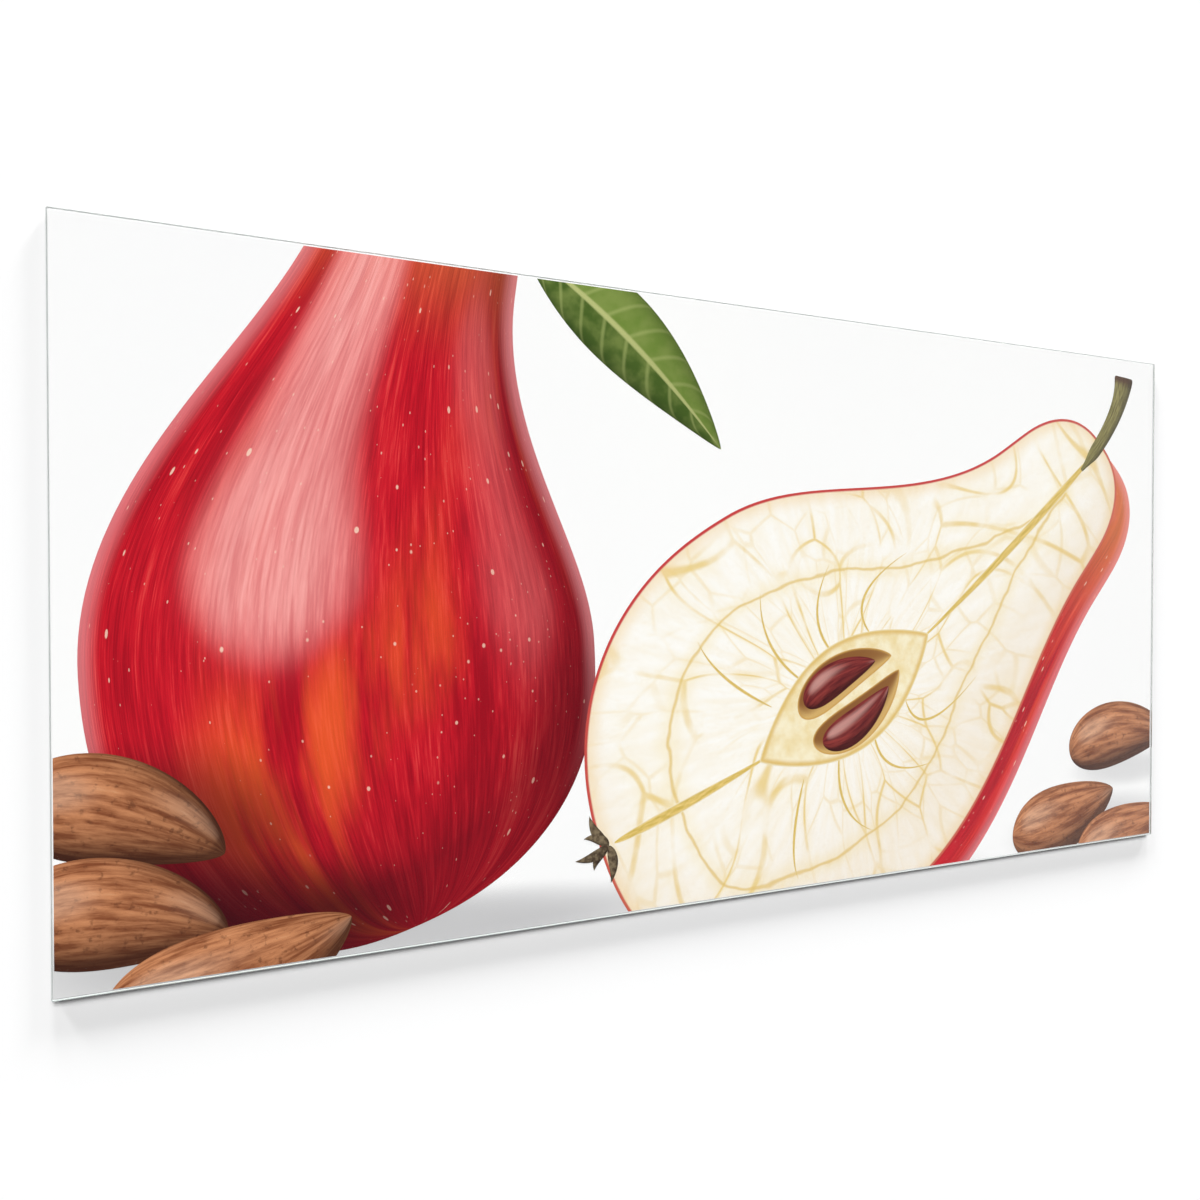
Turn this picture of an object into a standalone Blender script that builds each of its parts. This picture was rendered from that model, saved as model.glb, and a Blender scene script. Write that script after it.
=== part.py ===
"""A frameless glass wall picture, laid on its back with the picture side up.

A clear pane with ground edges lies over a printed sheet, which is bonded to its rear face. The sheet stops
just short of the pane's edges all round. The origin is the middle of the sheet's underside: +X runs along
the picture's width to its right, +Y runs to its top, and +Z points out of the picture. Lengths are in metres.
"""

import bmesh
import bpy

# Driving dimensions
PICTURE_WIDTH = 1.000
PICTURE_HEIGHT = 0.500
GLASS_THICKNESS = 0.004
SHEET_THICKNESS = 0.001
SHEET_INSET = 0.001
FACE_GAP = 0.0003

# Edge work
CORNER_RADIUS = 0.0012
CORNER_STEPS = 4
GLASS_ARRIS = 0.0005
SHEET_ARRIS = 0.00015

# Worked out from the sizes above
SHEET_WIDTH = PICTURE_WIDTH - 2 * SHEET_INSET
SHEET_HEIGHT = PICTURE_HEIGHT - 2 * SHEET_INSET
GLASS_UNDERSIDE = SHEET_THICKNESS + FACE_GAP

# Finishes
GLASS_COLOUR = (0.90, 0.96, 0.93, 1.0)
GLASS_ROUGHNESS = 0.02
SHEET_COLOUR = (0.93, 0.93, 0.92, 1.0)
SHEET_ROUGHNESS = 0.45


def clear_scene():
    for old in list(bpy.data.objects):
        bpy.data.objects.remove(old)


def plain_material(name, colour, roughness, transmission):
    material = bpy.data.materials.new(name)
    material.use_nodes = True
    shader = material.node_tree.nodes["Principled BSDF"]
    shader.inputs["Base Color"].default_value = colour
    shader.inputs["Roughness"].default_value = roughness
    shader.inputs["Metallic"].default_value = 0.0
    shader.inputs["Transmission Weight"].default_value = transmission
    return material


def is_upright(edge):
    start, end = edge.verts
    return start.co.z != end.co.z


def is_level(face):
    return abs(face.normal.z) > 0.5


def corner_edges(bm):
    """The upright edges at the four corners of a box."""
    return [edge for edge in bm.edges if is_upright(edge)]


def rim_edges(bm):
    """The edges round the top and bottom faces, each between a level face and a side wall."""
    return [edge for edge in bm.edges if is_level(edge.link_faces[0]) != is_level(edge.link_faces[1])]


def bevel(bm, edges, width, steps):
    bmesh.ops.bevel(
        bm,
        geom=edges,
        offset=width,
        offset_type="OFFSET",
        segments=steps,
        profile=0.5,
        affect="EDGES",
    )
    bm.normal_update()


def flat_plate(name, size, underside, arris, material):
    """A thin plate with rounded corners and a narrow flat arris round both faces."""
    bm = bmesh.new()
    bmesh.ops.create_cube(bm, size=1.0)
    bmesh.ops.scale(bm, vec=size, verts=bm.verts)
    bevel(bm, corner_edges(bm), CORNER_RADIUS, CORNER_STEPS)
    bevel(bm, rim_edges(bm), arris, 1)
    mesh = bpy.data.meshes.new(name)
    bm.to_mesh(mesh)
    bm.free()
    mesh.materials.append(material)
    plate = bpy.data.objects.new(name, mesh)
    plate.location = (0.0, 0.0, underside + size[2] / 2)
    bpy.context.scene.collection.objects.link(plate)


def add_printed_sheet():
    """The white sheet that carries the picture on its face and closes the back."""
    flat_plate(
        "printed_sheet",
        (SHEET_WIDTH, SHEET_HEIGHT, SHEET_THICKNESS),
        0.0,
        SHEET_ARRIS,
        plain_material("sheet_white", SHEET_COLOUR, SHEET_ROUGHNESS, 0.0),
    )


def add_glass_pane():
    """The toughened pane in front, with the sharp edge taken off both faces."""
    flat_plate(
        "glass_pane",
        (PICTURE_WIDTH, PICTURE_HEIGHT, GLASS_THICKNESS),
        GLASS_UNDERSIDE,
        GLASS_ARRIS,
        plain_material("glass_clear", GLASS_COLOUR, GLASS_ROUGHNESS, 1.0),
    )


clear_scene()
add_printed_sheet()
add_glass_pane()
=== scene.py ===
"""Looks of a frameless glass wall picture, which lies on its back with the picture side up.

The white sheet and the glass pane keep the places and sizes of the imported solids. Between them the picture
is laid on a white film as thin fields of ink: a still life of fruit and nuts. Lengths are in metres.
"""

import math

import bmesh
import bpy
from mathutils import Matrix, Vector
from mathutils.kdtree import KDTree


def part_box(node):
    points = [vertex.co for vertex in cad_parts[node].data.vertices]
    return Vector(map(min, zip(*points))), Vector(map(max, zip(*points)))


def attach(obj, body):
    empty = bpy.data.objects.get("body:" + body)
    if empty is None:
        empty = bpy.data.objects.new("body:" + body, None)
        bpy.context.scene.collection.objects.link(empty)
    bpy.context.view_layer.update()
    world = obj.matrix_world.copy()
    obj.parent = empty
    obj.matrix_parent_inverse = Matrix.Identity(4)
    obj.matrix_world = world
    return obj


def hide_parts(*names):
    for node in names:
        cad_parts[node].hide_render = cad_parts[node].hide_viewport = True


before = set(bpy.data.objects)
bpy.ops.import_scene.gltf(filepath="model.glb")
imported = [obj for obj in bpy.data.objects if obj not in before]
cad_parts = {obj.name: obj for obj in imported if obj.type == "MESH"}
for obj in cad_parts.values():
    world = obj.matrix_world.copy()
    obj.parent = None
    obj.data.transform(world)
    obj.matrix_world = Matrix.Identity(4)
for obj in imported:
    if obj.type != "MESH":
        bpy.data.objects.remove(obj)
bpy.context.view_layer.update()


# White sheet. A satin plastic sheet backs the picture, cut a little smaller than the glass all round.
# It is a flat plate with its rims eased.

SHEET_LOW, SHEET_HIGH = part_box("printed_sheet")
SHEET_CORNER = 0.0012
SHEET_ARRIS = 0.00015
SHEET_ARRIS_STEPS = 2
CORNER_STEPS = 8


def is_level(face):
    return abs(face.normal.z) > 0.5


def flat_plate(low, high, corner, arris, arris_steps):
    """A rectangular plate with rounded corners, and with its rims eased by an arris."""
    bm = bmesh.new()
    bmesh.ops.create_cube(bm, size=1)
    bmesh.ops.scale(bm, vec=high - low, verts=bm.verts)
    bmesh.ops.translate(bm, vec=(low + high) / 2, verts=bm.verts)
    bm.normal_update()
    uprights = [edge for edge in bm.edges if not any(is_level(face) for face in edge.link_faces)]
    cut = {"offset_type": "OFFSET", "profile": 0.5, "affect": "EDGES", "material": -1}
    bmesh.ops.bevel(bm, geom=uprights, offset=corner, segments=CORNER_STEPS, **cut)
    bm.normal_update()
    rims = [edge for edge in bm.edges if any(is_level(face) for face in edge.link_faces)]
    bmesh.ops.bevel(bm, geom=rims, offset=arris, segments=arris_steps, **cut)
    bm.normal_update()
    return bm


def fit(name, bm, finishes, node):
    """Makes a piece of a shape, gives it its finishes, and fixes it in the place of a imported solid."""
    mesh = bpy.data.meshes.new(name)
    bm.to_mesh(mesh)
    bm.free()
    for finish in finishes:
        mesh.materials.append(finish.material)
    piece = bpy.data.objects.new(name, mesh)
    bpy.context.scene.collection.objects.link(piece)
    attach(piece, "root")
    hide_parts(node)
    return piece


def ink(red, green, blue):
    """An ink's colour as matched, from 0 to 255, made linear by the usual screen curve."""
    linear = []
    for level in (red, green, blue):
        share = level / 255
        linear.append(share / 12.92 if share < 0.04045 else ((share + 0.055) / 1.055) ** 2.4)
    return (*linear, 1.0)


class Value:
    """One number or colour in a mixer's nodes. Sums with it add Math nodes there."""

    def __init__(self, mixer, socket):
        self.mixer = mixer
        self.socket = socket

    def __add__(self, other):
        return self.mixer.maths("ADD", self, other)

    def __radd__(self, other):
        return self.mixer.maths("ADD", other, self)

    def __sub__(self, other):
        return self.mixer.maths("SUBTRACT", self, other)

    def __rsub__(self, other):
        return self.mixer.maths("SUBTRACT", other, self)

    def __mul__(self, other):
        return self.mixer.maths("MULTIPLY", self, other)

    def __rmul__(self, other):
        return self.mixer.maths("MULTIPLY", other, self)

    def __truediv__(self, other):
        return self.mixer.maths("DIVIDE", self, other)

    def __rtruediv__(self, other):
        return self.mixer.maths("DIVIDE", other, self)

    def __abs__(self):
        return self.mixer.maths("ABSOLUTE", self)

    def rise(self, low, high):
        """0 up to low and 1 from high on, with a smooth step between, or the reverse if high is lower."""
        spans = {"Value": self, "From Min": low, "From Max": high}
        return self.mixer.node("ShaderNodeMapRange", {"interpolation_type": "SMOOTHSTEP"}, spans)


class Mixer:
    """The nodes of a finish or of a light, to which each call adds."""

    def __init__(self, tree):
        self.tree = tree

    def node(self, kind, settings, sockets, output=0):
        """Adds a node, makes its settings, sets or links its sockets, and gives one of its outputs."""
        made = self.tree.nodes.new(kind)
        for name, setting in settings.items():
            setattr(made, name, setting)
        for place, term in sockets.items():
            if isinstance(term, Value):
                self.tree.links.new(term.socket, made.inputs[place])
            else:
                made.inputs[place].default_value = term
        return Value(self, made.outputs[output])

    def maths(self, operation, *terms):
        return self.node("ShaderNodeMath", {"operation": operation}, dict(enumerate(terms)))

    def place(self):
        return self.node("ShaderNodeTexCoord", {}, {}, "Object")

    def axes(self, vector):
        return [self.node("ShaderNodeSeparateXYZ", {}, {0: vector}, axis) for axis in "XYZ"]

    def vector(self, x, y, z):
        return self.node("ShaderNodeCombineXYZ", {}, {"X": x, "Y": y, "Z": z})

    def noise(self, vector, scale, detail=4.0, roughness=0.5):
        sockets = {"Vector": vector, "Scale": scale, "Detail": detail, "Roughness": roughness}
        return self.node("ShaderNodeTexNoise", {}, sockets, "Fac")

    def mix(self, share, under, over):
        """The colour under, with that share of the colour over laid on it."""
        return self.node("ShaderNodeMix", {"data_type": "RGBA"}, {0: share, 6: under, 7: over}, 2)

    def from_point(self, centre, reach=(1.0, 1.0)):
        """How far a point of the picture is from a centre, right and up, in reaches."""
        x, y, _ = self.axes(self.place())
        return (x - centre[0]) * (1 / reach[0]), (y - centre[1]) * (1 / reach[1])

    def spot(self, centre, reach):
        """A soft oval on the picture, 1 at its centre and 0 from its reach on."""
        right, up = self.from_point(centre, reach)
        return (right * right + up * up).rise(1.0, 0.0)


class Finish(Mixer):
    """A material. The numbers of its shader that stay the same all over are set at once."""

    def __init__(self, name, fixed):
        self.material = bpy.data.materials.new(name)
        self.material.use_nodes = True
        super().__init__(self.material.node_tree)
        self.shader = self.tree.nodes["Principled BSDF"]
        for socket, number in fixed.items():
            self.shader.inputs[socket].default_value = number

    def feed(self, socket, value):
        self.tree.links.new(value.socket, self.shader.inputs[socket])

    def pass_lamps(self, share=None):
        """Lets lamplight, or that share of it, go straight on through the surface, as clear glass does."""
        looks = Value(self, self.shader.outputs["BSDF"])
        for_lamps = self.node("ShaderNodeBsdfTransparent", {}, {})
        if share is not None:
            for_lamps = self.node("ShaderNodeMixShader", {}, {0: share, 1: looks, 2: for_lamps})
        lamp_ray = self.node("ShaderNodeLightPath", {}, {}, "Is Shadow Ray")
        surface = self.node("ShaderNodeMixShader", {}, {0: lamp_ray, 1: looks, 2: for_lamps})
        self.tree.links.new(surface.socket, self.tree.nodes["Material Output"].inputs["Surface"])


white = Finish("satin_white_sheet", {"Roughness": 0.42, "Specular IOR Level": 0.25})
white_grain = white.noise(white.place(), 900.0, 3.0)
white.feed("Base Color", white.mix(white_grain, ink(244, 244, 242), ink(250, 250, 249)))
white.feed("Roughness", white_grain * 0.12 + 0.36)
sheet_shape = flat_plate(SHEET_LOW, SHEET_HIGH, SHEET_CORNER, SHEET_ARRIS, SHEET_ARRIS_STEPS)
fit("white_sheet", sheet_shape, [white], "printed_sheet")


# Print film. A thin white film bonds the sheet to the glass, and stands out past the sheet as the white
# line that frames the picture. It carries the inks, and its white, with soft grey shadows, is their ground.

GLASS_LOW, GLASS_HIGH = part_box("glass_pane")
FILM_PROUD = 0.0004
FILM_GAP = 0.00001
INK_ROOM = 0.00013
FILM_ARRIS = 0.00002
FILM_ARRIS_STEPS = 1
GROUND_SHADOWS = (
    ((-0.285, -0.238), (0.230, 0.030), 0.55),
    ((0.020, -0.262), (0.300, 0.048), 0.38),
    ((0.425, -0.236), (0.140, 0.044), 0.42),
    ((-0.440, -0.236), (0.130, 0.050), 0.45),
    ((0.462, -0.176), (0.090, 0.022), 0.32),
)

film = Finish("white_print_film", {"Roughness": 0.45, "Specular IOR Level": 0.25})
film_drift = film.noise(film.place(), 2.2, 1.0)
film_ground = film.mix(film_drift.rise(0.3, 0.75), ink(255, 255, 254), ink(253, 253, 253))
for centre, reach, depth in GROUND_SHADOWS:
    film_ground = film.mix(film.spot(centre, reach) * depth, film_ground, ink(134, 133, 137))
film.feed("Base Color", film_ground)
FILM_LOW = Vector((SHEET_LOW.x - FILM_PROUD, SHEET_LOW.y - FILM_PROUD, SHEET_HIGH.z + FILM_GAP))
FILM_HIGH = Vector((SHEET_HIGH.x + FILM_PROUD, SHEET_HIGH.y + FILM_PROUD, GLASS_LOW.z - INK_ROOM))
film_shape = flat_plate(FILM_LOW, FILM_HIGH, SHEET_CORNER, FILM_ARRIS, FILM_ARRIS_STEPS)
fit("print_film", film_shape, [film], "printed_sheet")


# Whole pear of the print. The largest field of ink, a red-skinned pear that runs off the picture's top.
# Streaks follow the round of the fruit from end to end, pale specks lie over them, and the left is lit.

PRINT_MARGIN = 0.0002
INK_STEP = 0.000012
INK_THICKNESS = 0.000006
INK_MARKS = ("along", "around", "depth", "light", "shine")
WELD = 0.00001
RIM_POINTS_A_ROW = 4
WHOLE_PEAR = ((-0.272, -0.236), (-0.352, 0.030), (-0.236, 0.345))
WHOLE_PEAR_WIDTH = 0.176
WHOLE_PEAR_LAYER = 1
WHOLE_PEAR_GRID = (120, 60)
PEAR_BELLY = 0.36
PEAR_NECK = 0.40
PEAR_NECK_END = 0.90
PEAR_CAP = 0.16
PEAR_BASE_POWER = 2.3
PEAR_CAP_POWER = 2.4
PEAR_LEAN = 0.03
AMBIENT_STRENGTH = 0.24
KEY_STRENGTH = 0.80
BOUNCE_STRENGTH = 0.16
SIDE_WINDOW_STRENGTH = 0.42
KEY_LIGHT = Vector((-0.46, 0.50, 0.73)).normalized()
BOUNCE_LIGHT = Vector((0.75, -0.55, 0.25)).normalized()
WINDOW = Vector((-0.36, 0.34, 0.87)).normalized()
SIDE_WINDOW = Vector((0.66, 0.22, 0.72)).normalized()
SKIN_SHADOWS = (
    ((-0.030, -0.170), (0.190, 0.260), 0.70),
    ((-0.440, -0.160), (0.110, 0.080), 0.70),
    ((-0.375, -0.225), (0.130, 0.060), 0.75),
)
LARGE_SPECKS = (19, 30, 0.14, 0.85)
SMALL_SPECKS = (44, 66, 0.12, 0.60)


def smooth(low, high, x):
    share = min(max((x - low) / (high - low), 0.0), 1.0)
    return share * share * (3 - 2 * share)


def squircle(share, power):
    """The height of a squared circle at a share of its radius from its middle."""
    return max(1 - share**power, 0.0) ** (1 / power)


def pear_outline(t, side):
    """Half the width of a pear at t of its length, as a share of its widest."""
    lean = 1 + PEAR_LEAN * side * math.sin(math.pi * t)
    if t < PEAR_BELLY:
        return squircle(1 - t / PEAR_BELLY, PEAR_BASE_POWER) * lean
    down = min((t - PEAR_BELLY) / (PEAR_NECK_END - PEAR_BELLY), 1.0)
    waist = PEAR_NECK + (1 - PEAR_NECK) * (1 + math.cos(math.pi * down)) / 2
    return waist * squircle(max(1 - (1 - t) / PEAR_CAP, 0.0), PEAR_CAP_POWER) * lean


def on_spine(spine, t):
    """The point at t on a curved spine, which bends towards its middle point, and the way it runs there."""
    start, bend, end = (Vector(point) for point in spine)
    point = start * (1 - t) ** 2 + bend * (2 * t * (1 - t)) + end * t**2
    run = (bend - start) * (2 * (1 - t)) + (end - bend) * (2 * t)
    return point, run


def left_of(run):
    return Vector((-run.y, run.x)).normalized()


def beside(spine, t, left_by):
    """A point to the left of a spine, by so much, where the spine is at t."""
    point, run = on_spine(spine, t)
    return point + left_of(run) * left_by


def slow_ends(share):
    """A share from 0 to 1 that moves slowly at both ends, so that points lie close together there."""
    return (1 - math.cos(math.pi * share)) / 2


def body_normal(spine, width, outline, t, across):
    """Which way a round body of this outline faces, as seen from in front of the picture."""
    reach = 0.05
    before, after = max(t - reach, 0.0), min(t + reach, 1.0)
    side = math.copysign(1, across)
    _, run = on_spine(spine, t)
    swell = width * (outline(after, side) - outline(before, side)) / (run.length * (after - before))
    facing = left_of(run) * across - run.normalized() * swell
    return Vector((facing.x, facing.y, math.sqrt(max(1 - across * across, 0.0)))).normalized()


def light_and_shine(facing):
    """How well lit a body is where it faces that way, and how brightly two windows shine on it there."""
    light = AMBIENT_STRENGTH + KEY_STRENGTH * max(facing.dot(KEY_LIGHT), 0.0)
    light += BOUNCE_STRENGTH * max(facing.dot(BOUNCE_LIGHT), 0.0)
    shine = smooth(0.80, 1.0, facing.dot(WINDOW)) ** 3.4
    shine += SIDE_WINDOW_STRENGTH * smooth(0.88, 1.0, facing.dot(SIDE_WINDOW)) ** 3.0
    return light, shine


def rim_points(spine, width, outline, steps):
    """The points round a field's outline, in a tree that finds the nearest one."""
    rim = KDTree(2 * (steps + 1))
    for number in range(steps + 1):
        t = slow_ends(number / steps)
        for side in (-1, 1):
            edge = beside(spine, t, side * width * outline(t, side))
            rim.insert((edge.x, edge.y, 0), 2 * number + (side > 0))
    rim.balance()
    return rim


def lay_field(bm, spine, width, outline, layer, grid):
    """Lays one closed field of ink along a spine, as a grid of rows along it and columns across.

    Its points carry the numbers that the inks read: along and around, which run over the body from end to
    end and from side to side, depth, how far inside the outline they lie, and the body's light and shine.
    """
    rows, columns = grid
    marks = {name: bm.verts.layers.float[name] for name in INK_MARKS}
    made = bmesh.ops.create_grid(bm, x_segments=columns, y_segments=rows, size=1)["verts"]
    rim = rim_points(spine, width, outline, RIM_POINTS_A_ROW * rows)
    for vert in made:
        t = slow_ends((vert.co.y + 1) / 2)
        across = math.sin(math.pi / 2 * vert.co.x)
        spot = beside(spine, t, across * width * outline(t, math.copysign(1, across)))
        vert[marks["along"]] = t
        vert[marks["around"]] = vert.co.x
        vert[marks["depth"]] = rim.find((spot.x, spot.y, 0))[2]
        light, shine = light_and_shine(body_normal(spine, width, outline, t, across))
        vert[marks["light"]] = light
        vert[marks["shine"]] = shine
        vert.co = (spot.x, spot.y, FILM_HIGH.z + INK_STEP * layer)
    bmesh.ops.remove_doubles(bm, verts=made, dist=WELD)


def ink_piece(name, finish, shapes, outline, grid):
    """A piece of the print: like fields of ink, cropped to the picture and given their thickness."""
    bm = bmesh.new()
    for mark in INK_MARKS:
        bm.verts.layers.float.new(mark)
    for spine, width, layer in shapes:
        lay_field(bm, spine, width, outline, layer, grid)
    right, top = SHEET_HIGH.x - PRINT_MARGIN, SHEET_HIGH.y - PRINT_MARGIN
    for edge, outward in (
        ((right, 0, 0), (1, 0, 0)),
        ((-right, 0, 0), (-1, 0, 0)),
        ((0, top, 0), (0, 1, 0)),
        ((0, -top, 0), (0, -1, 0)),
    ):
        geometry = [*bm.verts, *bm.edges, *bm.faces]
        bmesh.ops.bisect_plane(bm, geom=geometry, plane_co=edge, plane_no=outward, clear_outer=True)
    bmesh.ops.solidify(bm, geom=list(bm.faces), thickness=INK_THICKNESS)
    bmesh.ops.recalc_face_normals(bm, faces=bm.faces)
    fit(name, bm, [finish], "printed_sheet")


def new_ink(name, *marks):
    """A print finish, and those of its fields' numbers that it reads."""
    finish = Finish(name, {"Roughness": 0.5, "Specular IOR Level": 0.1})
    return finish, *(finish.node("ShaderNodeAttribute", {"attribute_name": m}, {}, "Fac") for m in marks)


def red_skin(name, lift=0.0):
    """Inks for a red pear's skin, lit more by the lift. The shadows of other fruit aren't on it yet."""
    skin, along, around, depth, light, shine = new_ink(name, *INK_MARKS)
    light = light + lift
    hair = skin.noise(skin.vector(around * 150, along * 12, 5.0), 1.0, 4.0, 0.6)
    fine = skin.noise(skin.vector(around * 50, along * 8, 0.0), 1.0, 6.0, 0.65)
    broad = skin.noise(skin.vector(around * 8, along * 2.6, 3.0), 1.0, 3.0, 0.5)
    blush = skin.noise(skin.vector(around * 1.6, along * 2.0, 9.0), 1.0, 1.0)
    streaks = hair * 0.34 + fine * 0.33 + broad * 0.33
    colour = skin.mix(streaks.rise(0.40, 0.58), ink(166, 8, 30), ink(212, 24, 42))
    colour = skin.mix(streaks.rise(0.52, 0.64) * 0.6, colour, ink(240, 84, 78))
    warm = blush.rise(0.50, 0.74) * broad.rise(0.38, 0.62)
    colour = skin.mix(warm * 0.72, colour, ink(248, 108, 42))
    colour = skin.mix((along + streaks * 0.25).rise(0.84, 1.14) * 0.6, colour, ink(224, 146, 78))
    shaded = skin.mix(light.rise(-0.05, 0.86), ink(60, 4, 18), colour)
    shaded = skin.mix(shine.rise(0.0, 0.9) * 0.50, shaded, ink(232, 84, 94))
    glint = shine.rise(0.20, 1.15) * (fine.rise(0.34, 0.66) * 0.35 + hair.rise(0.36, 0.64) * 0.15 + 0.42)
    shaded = skin.mix(glint, shaded, ink(254, 182, 176))
    rim_light = depth.rise(0.013, 0.0) * along.rise(0.08, 0.40)
    shaded = skin.mix(rim_light * (hair * 0.5 + 0.30), shaded, ink(244, 156, 160))
    for across_cells, along_cells, size, pale in (LARGE_SPECKS, SMALL_SPECKS):
        cells = {"Vector": skin.vector(around * across_cells, along * along_cells, 0.0), "Scale": 1.0}
        distance = skin.node("ShaderNodeTexVoronoi", {}, cells, "Distance")
        chance = skin.axes(skin.node("ShaderNodeTexVoronoi", {}, cells, "Color"))[0]
        speck = (distance - chance.rise(0.35, 1.0) * size).rise(0.02, -0.03)
        shaded = skin.mix(speck * (light * 0.8 + 0.2) * pale, shaded, ink(250, 212, 190))
    return skin, shaded


skin, skin_colour = red_skin("red_pear_skin")
for centre, reach, depth in SKIN_SHADOWS:
    skin_colour = skin.mix(skin.spot(centre, reach) * depth, skin_colour, ink(38, 3, 12))
skin.feed("Base Color", skin_colour)
whole_pear = (WHOLE_PEAR, WHOLE_PEAR_WIDTH, WHOLE_PEAR_LAYER)
ink_piece("whole_pear_print", skin, [whole_pear], pear_outline, WHOLE_PEAR_GRID)


# Leaf of the print. It hangs beside the whole pear's neck: two green halves that fold at a pale midrib,
# with side veins that lean towards the tip.

LEAF = ((-0.190, 0.270), (-0.105, 0.225), (-0.020, 0.128))
LEAF_WIDTH = 0.034
LEAF_LAYER = 2
LEAF_GRID = (60, 24)


def leaf_outline(t, side):
    return math.sin(math.pi * t) ** 0.8 * (1.12 - 0.35 * t) * (1 + 0.05 * side)


leaf, along, around, light = new_ink("green_leaf", "along", "around", "light")
fold = leaf.noise(leaf.place(), 60.0, 3.0)
side_veins = abs(leaf.maths("FRACT", along * 9 - abs(around) * 1.1) - 0.5)
leaf_colour = leaf.mix(around.rise(-0.02, 0.02), ink(72, 98, 36), ink(112, 138, 58))
leaf_colour = leaf.mix(fold.rise(0.35, 0.70) * 0.5, leaf_colour, ink(142, 158, 84))
leaf_colour = leaf.mix(side_veins.rise(0.13, 0.0) * 0.5, leaf_colour, ink(168, 180, 108))
leaf_colour = leaf.mix(abs(around).rise(0.07, 0.02), leaf_colour, ink(186, 192, 124))
leaf_colour = leaf.mix(light.rise(0.95, 0.25) * 0.6, leaf_colour, ink(36, 50, 20))
leaf.feed("Base Color", leaf_colour)
ink_piece("leaf_print", leaf, [(LEAF, LEAF_WIDTH, LEAF_LAYER)], leaf_outline, LEAF_GRID)


# Pear half of the print. A band of red skin shows behind the cut on its lower side, and the cut flesh is
# laid over it: cream, with a warm rim, a net of fine veins, and a line that runs round beside the core.

HALF_PEAR = ((-0.128, -0.196), (0.170, -0.098), (0.424, 0.160))
HALF_PEAR_WIDTH = 0.196
HALF_PEAR_GRID = (110, 56)
SKIN_LAYER = 2
SKIN_OFFSET = Vector((0.020, -0.022))
SKIN_LIFT = 0.42
FLESH_LAYER = 3
CORE_AT = 0.41
RING_DEPTH = 0.088
BROAD_NET = (2.3, 9.0, 0.030, 0.80)
FINE_NET = (5.0, 20.0, 0.045, 0.30)

half_skin, half_skin_colour = red_skin("red_pear_skin_of_half", SKIN_LIFT)
half_skin.feed("Base Color", half_skin_colour)
skin_spine = [Vector(point) + SKIN_OFFSET for point in HALF_PEAR]
skin_band = (skin_spine, HALF_PEAR_WIDTH, SKIN_LAYER)
ink_piece("half_pear_skin_print", half_skin, [skin_band], pear_outline, HALF_PEAR_GRID)

flesh, depth, light = new_ink("cream_pear_flesh", "depth", "light")
right, up = flesh.from_point(beside(HALF_PEAR, CORE_AT, 0.0))
off_core = flesh.maths("SQRT", right * right + up * up)
out_right, out_up = right / off_core, up / off_core
fibre = flesh.noise(flesh.vector(out_right * 16, out_up * 16, off_core * 22), 1.0, 5.0, 0.6)
grain = flesh.noise(flesh.place(), 420.0, 3.0, 0.6)
cloud = flesh.noise(flesh.place(), 14.0, 3.0, 0.5)
sway = flesh.noise(flesh.place(), 6.0, 0.0)
flesh_colour = flesh.mix(fibre.rise(0.32, 0.70), ink(255, 253, 247), ink(252, 246, 232))
flesh_colour = flesh.mix(grain.rise(0.50, 0.75) * 0.25, flesh_colour, ink(238, 224, 196))
for spread, run, line, strength in (BROAD_NET, FINE_NET):
    cells = flesh.vector(
        out_right * spread + sway * 2.2,
        out_up * spread - sway * 2.2,
        off_core * run + sway * 2.0,
    )
    sockets = {"Vector": cells, "Scale": 1.0}
    course = flesh.node("ShaderNodeTexVoronoi", {"feature": "DISTANCE_TO_EDGE"}, sockets, "Distance")
    fading = cloud.rise(0.36, 0.60) * strength
    flesh_colour = flesh.mix(course.rise(line * 4, 0.0) * fading * 0.30, flesh_colour, ink(246, 228, 172))
    flesh_colour = flesh.mix(course.rise(line, line * 0.2) * fading, flesh_colour, ink(234, 204, 122))
ring = abs(depth + cloud * 0.03 - RING_DEPTH)
flesh_colour = flesh.mix(ring.rise(0.0024, 0.0004) * 0.75, flesh_colour, ink(222, 186, 100))
flesh_colour = flesh.mix(ring.rise(0.016, 0.0) * 0.28, flesh_colour, ink(244, 222, 150))
flesh_colour = flesh.mix(depth.rise(0.018, 0.001) * 0.55, flesh_colour, ink(244, 214, 160))
flesh_colour = flesh.mix(depth.rise(0.0034, 0.0018), flesh_colour, ink(200, 58, 64))
flesh_colour = flesh.mix(light.rise(0.95, 0.30) * 0.22, flesh_colour, ink(214, 176, 120))
flesh.feed("Base Color", flesh_colour)
cut_flesh = (HALF_PEAR, HALF_PEAR_WIDTH, FLESH_LAYER)
ink_piece("half_pear_flesh_print", flesh, [cut_flesh], pear_outline, HALF_PEAR_GRID)


# Veins of the pear half. Bundles of yellow fibre run from the stem to the core and on to the calyx, and
# thin ones curve out from both sides of the core.

BUNDLES = ((0.985, 0.75, 0.550), (0.020, 0.14, 0.270))
BUNDLE_WIDTH = 0.0056
BUNDLE_LAYER = 5
VEINS_A_SIDE = 4
VEIN_WIDTH = 0.0018
VEIN_LAYER = 4
VEIN_GRID = (40, 8)
VEIN_START = 0.300
VEIN_START_STEP = 0.064
VEIN_START_OFF_SPINE = 0.036
VEIN_BEND = 0.235
VEIN_BEND_STEP = 0.080
VEIN_BEND_OFF_SPINE = 0.084
VEIN_END_STEP = 0.125
SHORT_OF_SKIN = 0.072


def vein_outline(t, side):
    return math.sqrt(math.sin(math.pi * t)) * (1.1 - 0.7 * t)


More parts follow.
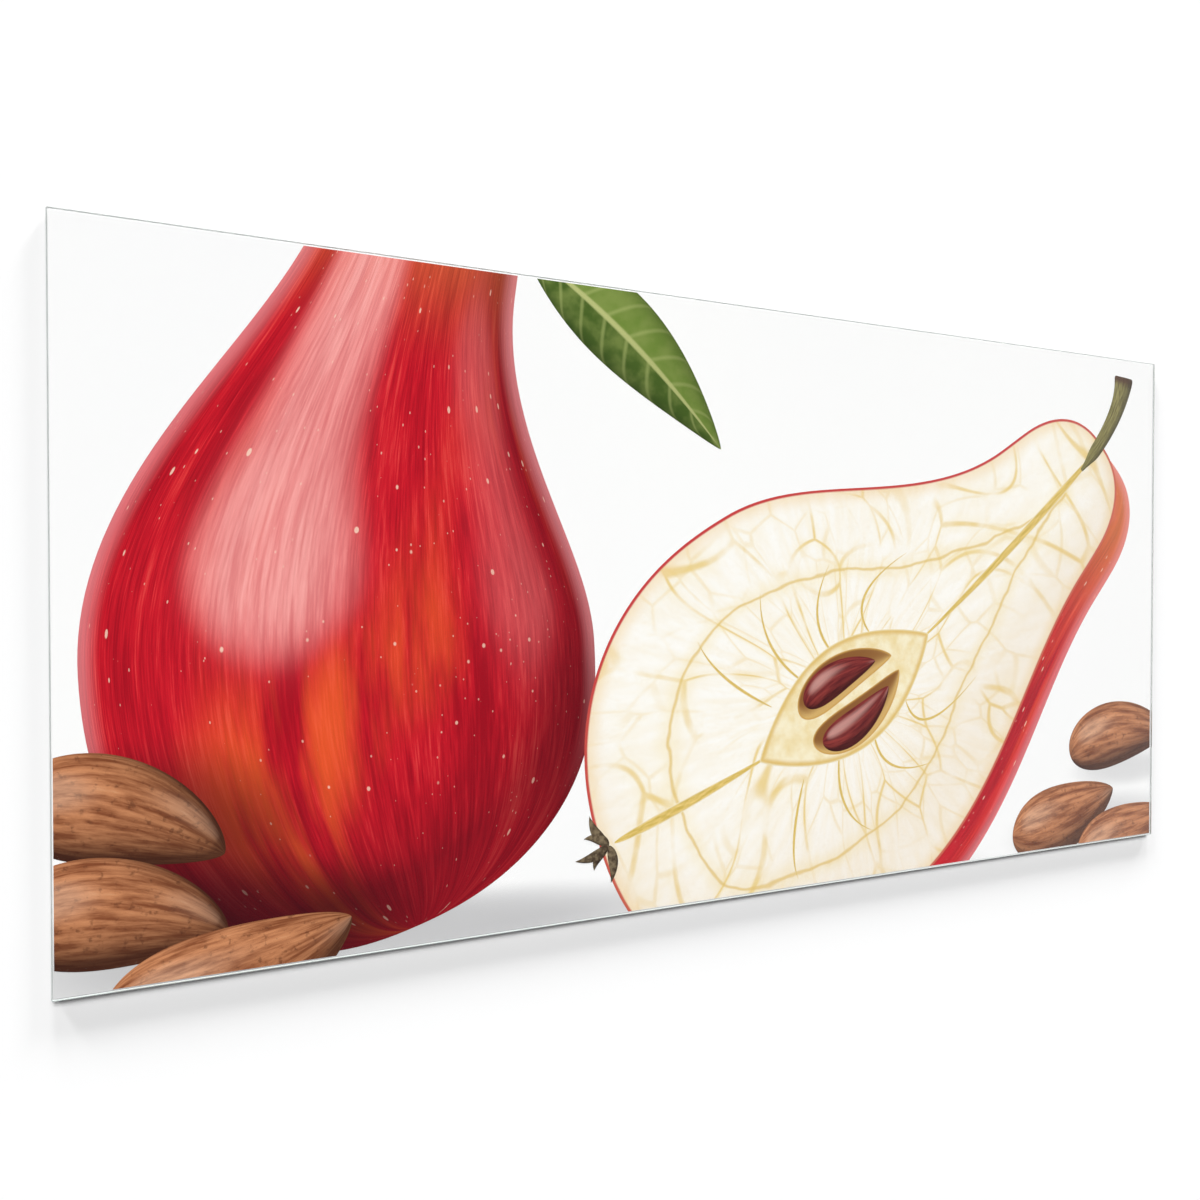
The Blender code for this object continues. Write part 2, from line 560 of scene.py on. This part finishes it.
def half_pear_veins():
    """The bundles from the stem and from the calyx, and the thin veins, which stop short of the skin."""
    shapes = []
    for stations in BUNDLES:
        shapes.append(([beside(HALF_PEAR, t, 0.0) for t in stations], BUNDLE_WIDTH, BUNDLE_LAYER))
    for side in (-1, 1):
        for number in range(VEINS_A_SIDE):
            start = beside(HALF_PEAR, VEIN_START + VEIN_START_STEP * number, side * VEIN_START_OFF_SPINE)
            bend = beside(HALF_PEAR, VEIN_BEND + VEIN_BEND_STEP * number, side * VEIN_BEND_OFF_SPINE)
            far = VEIN_BEND + VEIN_END_STEP * number
            end = beside(HALF_PEAR, far, side * (HALF_PEAR_WIDTH * pear_outline(far, side) - SHORT_OF_SKIN))
            shapes.append(((start, bend, end), VEIN_WIDTH, VEIN_LAYER))
    return shapes


veins, along, around = new_ink("yellow_veins", "along", "around")
vein_fibre = veins.noise(veins.vector(around * 3, along * 14, 0.0), 1.0, 4.0, 0.6)
vein_colour = veins.mix(vein_fibre.rise(0.35, 0.65), ink(206, 176, 84), ink(236, 206, 126))
vein_colour = veins.mix(abs(around).rise(0.35, 0.95), vein_colour, ink(246, 236, 208))
veins.feed("Base Color", vein_colour)
ink_piece("half_pear_veins_print", veins, half_pear_veins(), vein_outline, VEIN_GRID)


# Core of the pear half. A pointed oval of finer flesh with a yellow rim holds two open pockets, and in
# each lies a dark seed that points to the stem.

CORE_STATIONS = (0.250, 0.415, 0.575)
CORE_WIDTH = 0.050
CORE_LAYER = 6
CORE_GRID = (60, 24)
POCKET_STATIONS = ((0.335, 0.012), (0.41, 0.036), (0.505, 0.008))
POCKET_WIDTH = 0.0195
POCKET_LAYER = 7
SEED_STATIONS = ((0.348, 0.018), (0.40, 0.032), (0.478, 0.014))
SEED_WIDTH = 0.0150
SEED_LAYER = 8
SEED_GRID = (40, 20)


def core_outline(t, side):
    return math.sin(math.pi * t) ** 0.85


def seed_outline(t, side):
    return 2.32 * math.sqrt(t) * (1 - t) ** 0.72


def to_each_side(stations, width, layer):
    """A shape to each side of the pear half's spine, through points at t and so far off it."""
    shapes = []
    for side in (-1, 1):
        spine = [beside(HALF_PEAR, t, side * off) for t, off in stations]
        shapes.append((spine, width, layer))
    return shapes


core, depth = new_ink("core_flesh", "depth")
core_cloud = core.noise(core.place(), 70.0, 4.0, 0.6)
core_colour = core.mix(core_cloud.rise(0.30, 0.70), ink(250, 240, 208), ink(240, 220, 166))
core_colour = core.mix(depth.rise(0.007, 0.0015) * 0.85, core_colour, ink(222, 184, 96))
core_colour = core.mix(depth.rise(0.0020, 0.0), core_colour, ink(240, 226, 184))
core.feed("Base Color", core_colour)
core_spine = [beside(HALF_PEAR, t, 0.0) for t in CORE_STATIONS]
ink_piece("half_pear_core_print", core, [(core_spine, CORE_WIDTH, CORE_LAYER)], core_outline, CORE_GRID)

pocket, depth, light = new_ink("seed_pocket", "depth", "light")
pocket_colour = pocket.mix(light.rise(0.30, 0.95), ink(214, 176, 108), ink(140, 92, 48))
pocket_colour = pocket.mix(depth.rise(0.0022, 0.0), pocket_colour, ink(206, 160, 84))
pocket.feed("Base Color", pocket_colour)
pockets = to_each_side(POCKET_STATIONS, POCKET_WIDTH, POCKET_LAYER)
ink_piece("seed_pockets_print", pocket, pockets, seed_outline, SEED_GRID)

seed, along, around, light, shine = new_ink("brown_pear_seed", "along", "around", "light", "shine")
seed_streak = seed.noise(seed.vector(around * 6, along * 2.5, 0.0), 1.0, 4.0, 0.6)
seed_colour = seed.mix(seed_streak.rise(0.35, 0.65), ink(96, 30, 34), ink(148, 58, 54))
seed_colour = seed.mix(light.rise(0.85, 0.15), seed_colour, ink(38, 10, 14))
seed_colour = seed.mix(shine * 0.6, seed_colour, ink(232, 178, 168))
seed.feed("Base Color", seed_colour)
seeds = to_each_side(SEED_STATIONS, SEED_WIDTH, SEED_LAYER)
ink_piece("pear_seeds_print", seed, seeds, seed_outline, SEED_GRID)


# Stem and calyx of the pear half. A woody stem leaves the neck and widens to its cut end, and dried
# sepals stand in a small tuft at the other end of the fruit.

STEM_ROOT = 0.945
STEM_BEND = (0.452, 0.188)
STEM_END = (0.456, 0.232)
STEM_WIDTH = 0.0145
STEM_LAYER = 6
STEM_GRID = (40, 16)
SEPALS = 5
SEPAL_ROOT = 0.012
SEPAL_FAN = math.radians(150)
SEPAL_LENGTH = 0.030
SEPAL_SHORTENING = 0.25
SEPAL_CURL = 0.006
SEPAL_WIDTH = 0.0042
LOWEST_SEPAL_LAYER = 5
SEPAL_GRID = (30, 8)


def stem_outline(t, side):
    return (0.15 + 0.30 * smooth(0.0, 0.2, t) + 0.30 * t + 0.25 * t**6) * squircle(abs(2 * t - 1), 12)


def sepal_outline(t, side):
    return math.sin(math.pi * t**0.7) ** 0.9


wood, along, around, light = new_ink("stem_wood", "along", "around", "light")
bark = wood.noise(wood.vector(around * 9, along * 6, 0.0), 1.0, 5.0, 0.65)
wood_colour = wood.mix(bark.rise(0.35, 0.65), ink(92, 84, 44), ink(158, 150, 92))
wood_colour = wood.mix(along.rise(0.86, 0.97), wood_colour, ink(84, 56, 36))
wood_colour = wood.mix(light.rise(0.90, 0.15) * 0.85, wood_colour, ink(36, 28, 16))
wood.feed("Base Color", wood_colour)
stem_spine = (beside(HALF_PEAR, STEM_ROOT, 0.0), STEM_BEND, STEM_END)
ink_piece("half_pear_stem_print", wood, [(stem_spine, STEM_WIDTH, STEM_LAYER)], stem_outline, STEM_GRID)

dried, light = new_ink("dried_sepals", "light")
mottle = dried.noise(dried.place(), 300.0)
dried_colour = dried.mix(mottle.rise(0.3, 0.7), ink(70, 56, 44), ink(134, 118, 92))
dried_colour = dried.mix(light.rise(0.9, 0.2) * 0.7, dried_colour, ink(30, 22, 18))
dried.feed("Base Color", dried_colour)


def sepal_shapes():
    """A fan of sepals that curl to one side and the other in turn, with every second one shorter."""
    root, run = on_spine(HALF_PEAR, SEPAL_ROOT)
    outward = math.atan2(-run.y, -run.x)
    shapes = []
    for number in range(SEPALS):
        angle = outward + SEPAL_FAN * (number / (SEPALS - 1) - 0.5)
        way = Vector((math.cos(angle), math.sin(angle)))
        length = SEPAL_LENGTH * (1 - SEPAL_SHORTENING * (number % 2))
        bend = root + way * length / 2 + Vector((-way.y, way.x)) * (SEPAL_CURL * (-1) ** number)
        shapes.append(((root, bend, root + way * length), SEPAL_WIDTH, LOWEST_SEPAL_LAYER + number))
    return shapes


ink_piece("half_pear_calyx_print", dried, sepal_shapes(), sepal_outline, SEPAL_GRID)


# Almonds of the print. Brown, pitted nuts lie in the two lower corners, some of them cut off by the edge
# of the picture. Ridges run along each nut from its round end to its point.

# Each nut's spine, width and layer of ink.
ALMONDS = (
    (((-0.525, -0.132), (-0.470, -0.120), (-0.400, -0.168)), 0.036, 2),
    (((-0.530, -0.205), (-0.470, -0.190), (-0.398, -0.222)), 0.037, 3),
    (((-0.472, -0.262), (-0.395, -0.272), (-0.318, -0.222)), 0.038, 4),
    (((0.306, -0.232), (0.365, -0.232), (0.444, -0.196)), 0.036, 4),
    (((0.392, -0.262), (0.455, -0.262), (0.535, -0.228)), 0.038, 5),
    (((0.384, -0.160), (0.440, -0.130), (0.525, -0.142)), 0.034, 3),
)
ALMOND_GRID = (56, 28)


def almond_outline(t, side):
    return 2.2 * math.sqrt(t) * (1 - t) ** 0.68 * (1 + 0.06 * side)


nut, along, around, light, shine = new_ink("almond_skin", "along", "around", "light", "shine")
ridge = nut.noise(nut.vector(around * 9, along * 3.2, nut.axes(nut.place())[0] * 9), 1.0, 5.0, 0.62)
pits = nut.noise(nut.place(), 210.0, 3.0, 0.6)
nut_colour = nut.mix(ridge.rise(0.34, 0.66), ink(134, 74, 44), ink(208, 140, 96))
nut_colour = nut.mix(ridge.rise(0.62, 0.80) * 0.6, nut_colour, ink(228, 176, 132))
nut_colour = nut.mix(pits.rise(0.56, 0.72) * 0.55, nut_colour, ink(86, 42, 26))
nut_colour = nut.mix(light.rise(1.0, 0.20), nut_colour, ink(52, 22, 14))
nut_colour = nut.mix(shine * ridge * 0.5, nut_colour, ink(250, 214, 186))
nut.feed("Base Color", nut_colour)
ink_piece("almonds_print", nut, ALMONDS, almond_outline, ALMOND_GRID)


# Glass pane. A toughened clear pane lies over the print. Its faces are polished, and its edges are ground:
# the arrises look pale and the walls faintly green, as light crosses more glass on its way out of them.

GLASS_CORNER = 0.0012
GLASS_ARRIS = 0.0005
GLASS_ARRIS_STEPS = 3
ARRIS_FROM = 0.1
FACE_FROM = 0.999

clear_glass = Finish("clear_glass", {"Transmission Weight": 1.0, "IOR": 1.5})
clear_glass.shader.inputs["Base Color"].default_value = (0.998, 1.0, 0.999, 1.0)
wiped = clear_glass.noise(clear_glass.place(), 7.0, 5.0, 0.6)
clear_glass.feed("Roughness", wiped.rise(0.50, 0.80) * 0.004)
clear_glass.pass_lamps()


def ground_glass(name, clarity, dark, pale):
    """Ground glass with fine strokes along the edge. Lamplight comes in through it, but none gets out."""
    ground = Finish(name, {"Transmission Weight": clarity, "IOR": 1.5})
    along_x, along_y, up = ground.axes(ground.place())
    strokes = ground.noise(ground.vector(along_x * 40, along_y * 40, up * 3500), 1.0, 4.0, 0.7)
    ground.feed("Base Color", ground.mix(strokes, dark, pale))
    ground.feed("Roughness", strokes * 0.3 + 0.22)
    ground.pass_lamps(ground.node("ShaderNodeNewGeometry", {}, {}, "Backfacing"))
    return ground


pale_arris = ground_glass("ground_glass_arris", 0.35, ink(178, 183, 182), ink(224, 228, 227))
green_wall = ground_glass("ground_glass_wall", 0.65, ink(136, 154, 145), ink(184, 198, 191))
pane = flat_plate(GLASS_LOW, GLASS_HIGH, GLASS_CORNER, GLASS_ARRIS, GLASS_ARRIS_STEPS)
pane_finishes = [clear_glass, pale_arris, green_wall]
for face in pane.faces:
    upward = abs(face.normal.z)
    if upward < ARRIS_FROM:
        face.material_index = pane_finishes.index(green_wall)
    elif upward < FACE_FROM:
        face.material_index = pane_finishes.index(pale_arris)
glass = fit("clear_pane", pane, pane_finishes, "glass_pane")
glass.visible_diffuse = False


# Studio. A pale floor and backdrop, and lamps beyond the picture's top: three low ones throw the long soft
# shadow, and a higher one the dark line beside the panel. The glass mirrors only the pale surround.

FLOOR_SIZE = 30.0
FLOOR_DROP = 0.0001
LOW_LAMP_TURNS = (-28, 0, 28)
LOW_LAMP_HEIGHT = 8
LOW_LAMP_STRENGTH = 2.28
LOW_LAMP_SPREAD = 10
HIGH_LAMP_HEIGHT = 48
HIGH_LAMP_STRENGTH = 2.68
HIGH_LAMP_SPREAD = 30
MIRRORED_LOW = (0.54, 0.54, 0.54, 1.0)
MIRRORED_HIGH = (0.06, 0.06, 0.06, 1.0)
SHED_LIGHT = (0.14, 0.14, 0.14, 1.0)
BACKDROP = (0.99, 0.99, 0.99, 1.0)
CAMERA_PLACE = Vector((-0.3609, 0.0096, 0.6047 + GLASS_HIGH.z))
CAMERA_TURN = (math.radians(-0.64), math.radians(-20.95), 0.0)
CAMERA_LENS = 24.64
CAMERA_SENSOR = 36.0
CAMERA_CLIP = 0.01

floor_paint = Finish("pale_floor", {"Roughness": 0.9, "Specular IOR Level": 0.0})
floor_paint.shader.inputs["Base Color"].default_value = ink(248, 248, 248)
floor_mesh = bmesh.new()
bmesh.ops.create_grid(floor_mesh, x_segments=1, y_segments=1, size=FLOOR_SIZE / 2)
bmesh.ops.translate(floor_mesh, vec=(0, 0, SHEET_LOW.z - FLOOR_DROP), verts=floor_mesh.verts)
floor_data = bpy.data.meshes.new("floor")
floor_mesh.to_mesh(floor_data)
floor_mesh.free()
floor_data.materials.append(floor_paint.material)
floor = bpy.data.objects.new("floor", floor_data)
bpy.context.scene.collection.objects.link(floor)


def add_lamp(name, turn, height, strength, spread):
    """A soft lamp far away, so many degrees up from the floor and turned from beyond the picture's top."""
    data = bpy.data.lights.new(name, "SUN")
    data.energy = strength
    data.angle = math.radians(spread)
    # Its light comes by shadow rays alone, since the others would pass the pane's ground edges.
    data.cycles.use_multiple_importance_sampling = False
    lamp = bpy.data.objects.new(name, data)
    lamp.rotation_euler = (math.radians(height - 90), 0.0, math.radians(turn))
    lamp.visible_glossy = False
    lamp.visible_transmission = False
    bpy.context.scene.collection.objects.link(lamp)


for number, turn in enumerate(LOW_LAMP_TURNS):
    add_lamp(f"low_lamp_{number}", turn, LOW_LAMP_HEIGHT, LOW_LAMP_STRENGTH, LOW_LAMP_SPREAD)
add_lamp("high_lamp", 0, HIGH_LAMP_HEIGHT, HIGH_LAMP_STRENGTH, HIGH_LAMP_SPREAD)

surround = bpy.data.worlds.new("pale_surround")
surround.use_nodes = True
bpy.context.scene.world = surround
sky = Mixer(surround.node_tree)
height = sky.axes(sky.node("ShaderNodeTexCoord", {}, {}, "Generated"))[2]
mirrored = sky.mix(height.rise(0.45, 0.85), MIRRORED_LOW, MIRRORED_HIGH)
shed = sky.mix(sky.node("ShaderNodeLightPath", {}, {}, "Is Diffuse Ray"), mirrored, SHED_LIGHT)
seen = sky.mix(sky.node("ShaderNodeLightPath", {}, {}, "Is Camera Ray"), shed, BACKDROP)
surround.node_tree.links.new(seen.socket, surround.node_tree.nodes["Background"].inputs["Color"])

camera_data = bpy.data.cameras.new("camera")
camera_data.lens = CAMERA_LENS
camera_data.sensor_width = CAMERA_SENSOR
camera_data.clip_start = CAMERA_CLIP
camera = bpy.data.objects.new("camera", camera_data)
camera.location = CAMERA_PLACE
camera.rotation_euler = CAMERA_TURN
bpy.context.scene.collection.objects.link(camera)
bpy.context.scene.camera = camera
bpy.context.scene.view_settings.view_transform = "Standard"
